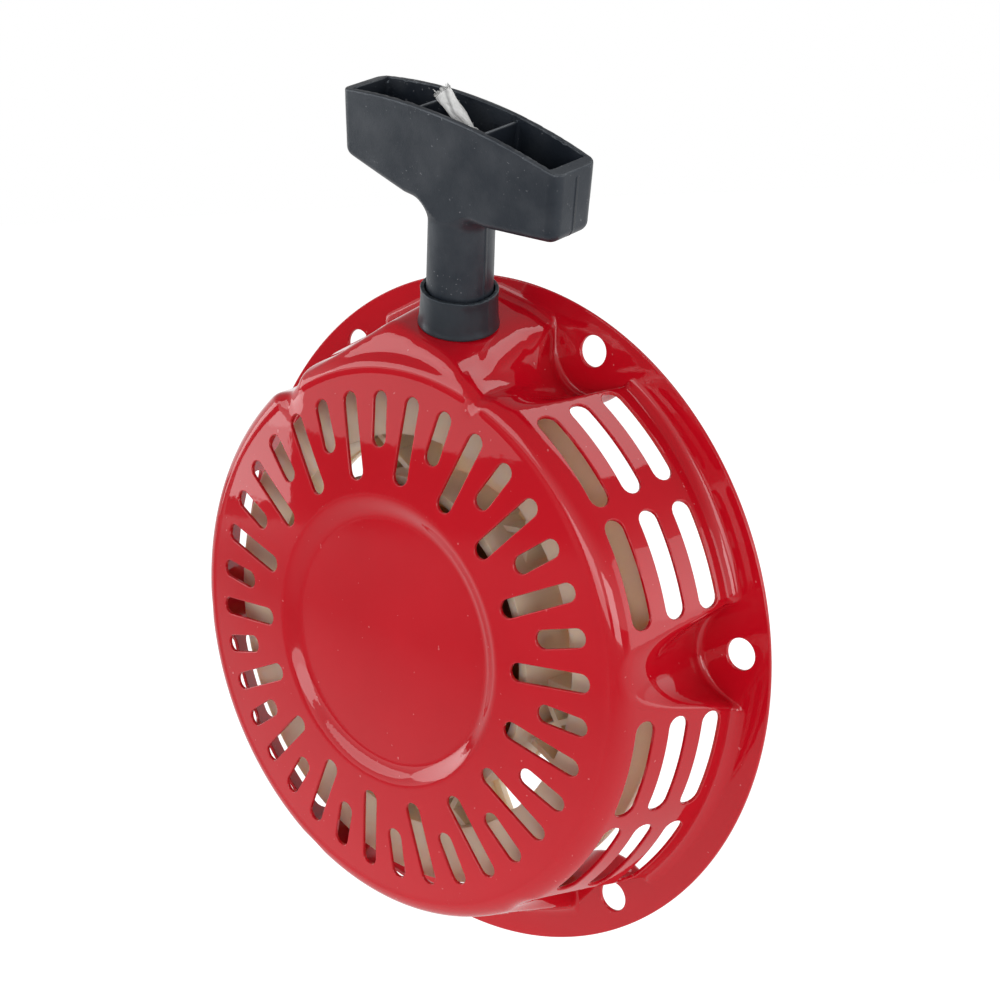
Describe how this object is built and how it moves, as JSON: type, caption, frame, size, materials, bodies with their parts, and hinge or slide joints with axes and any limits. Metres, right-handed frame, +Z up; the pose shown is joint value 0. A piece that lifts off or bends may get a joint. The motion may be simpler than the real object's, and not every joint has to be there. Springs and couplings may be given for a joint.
{
  "type": "recoil starter",
  "caption": "Pull-rope recoil starter: vented pressed housing, sprung rope reel with swinging pawls, and a T handle on a braided rope.",
  "frame": {"origin": "centre of the bolt circle, on the face of the flange that meets the engine", "axes": "Y is the axis of the housing and the reel, and the closed front faces -Y; +Z is up, midway between two bolt holes; +X is to the right seen from the front. The handle leans 20 degrees to the right and 15 degrees forward."},
  "size_m": [0.206, 0.0463, 0.2624],
  "materials": {
    "red_paint": "gloss",
    "post_steel": "turned",
    "zinc_steel": "zinc plated",
    "spring_steel": "blued",
    "guide_rubber": "satin",
    "black_plastic": "satin moulded",
    "natural_nylon": "satin moulded",
    "pawl_steel": "sintered",
    "rope": "braided"
  },
  "bodies": {
    "housing": {"housing_shell": "red_paint", "centre_post": "post_steel", "spring_anchor_pin": "post_steel", "rope_guide": "guide_rubber", "centre_screw": "zinc_steel", "rope_lead": "rope"},
    "reel": {"rope_reel": "natural_nylon", "recoil_spring": "spring_steel", "rope_coil": "rope", "reel_knot": "rope", "pawl_spring_1": "spring_steel", "pawl_spring_2": "spring_steel"},
    "pawl_1": {"pawl_1": "pawl_steel"},
    "pawl_2": {"pawl_2": "pawl_steel"},
    "ratchet_guide": {"ratchet_guide": "zinc_steel", "friction_spring": "spring_steel"},
    "handle": {"handle_grip": "black_plastic", "handle_washer": "zinc_steel", "rope_in_handle": "rope", "handle_knot": "rope", "rope_tail": "rope"}
  },
  "joints": [
    {"name": "reel_spin", "type": "hinge", "parent": "housing", "child": "reel", "pos_m": [0, -0.024, 0], "axis": [0, 1, 0], "range_deg": [0, 1170], "stiffness_Nm_per_rad": 0.02, "springref_deg": -859.44, "deforming": ["recoil_spring"]},
    {"name": "handle_pull", "type": "slide", "parent": "housing", "child": "handle", "axis": [0.3304, -0.2588, 0.9077], "range_m": [0, 1.3482]},
    {"name": "ratchet_guide_turn", "type": "hinge", "parent": "reel", "child": "ratchet_guide", "pos_m": [0, -0.0052, 0], "axis": [0, -1, 0], "range_deg": [0, 20], "stiffness_Nm_per_rad": 0.02, "springref_deg": -17.19},
    {"name": "pawl_1_swing", "type": "hinge", "parent": "reel", "child": "pawl_1", "pos_m": [0, -0.0091, 0.024], "axis": [0, -1, 0], "range_deg": [0, 25]},
    {"name": "pawl_2_swing", "type": "hinge", "parent": "reel", "child": "pawl_2", "pos_m": [0, -0.0091, -0.024], "axis": [0, -1, 0], "range_deg": [0, 25]}
  ],
  "couplings": [
    {"joint": "handle_pull", "follows": "reel_spin", "m_per_rad": 0.066},
    {"joint": "pawl_1_swing", "follows": "ratchet_guide_turn", "ratio": 1.25},
    {"joint": "pawl_2_swing", "follows": "ratchet_guide_turn", "ratio": 1.25}
  ]
}
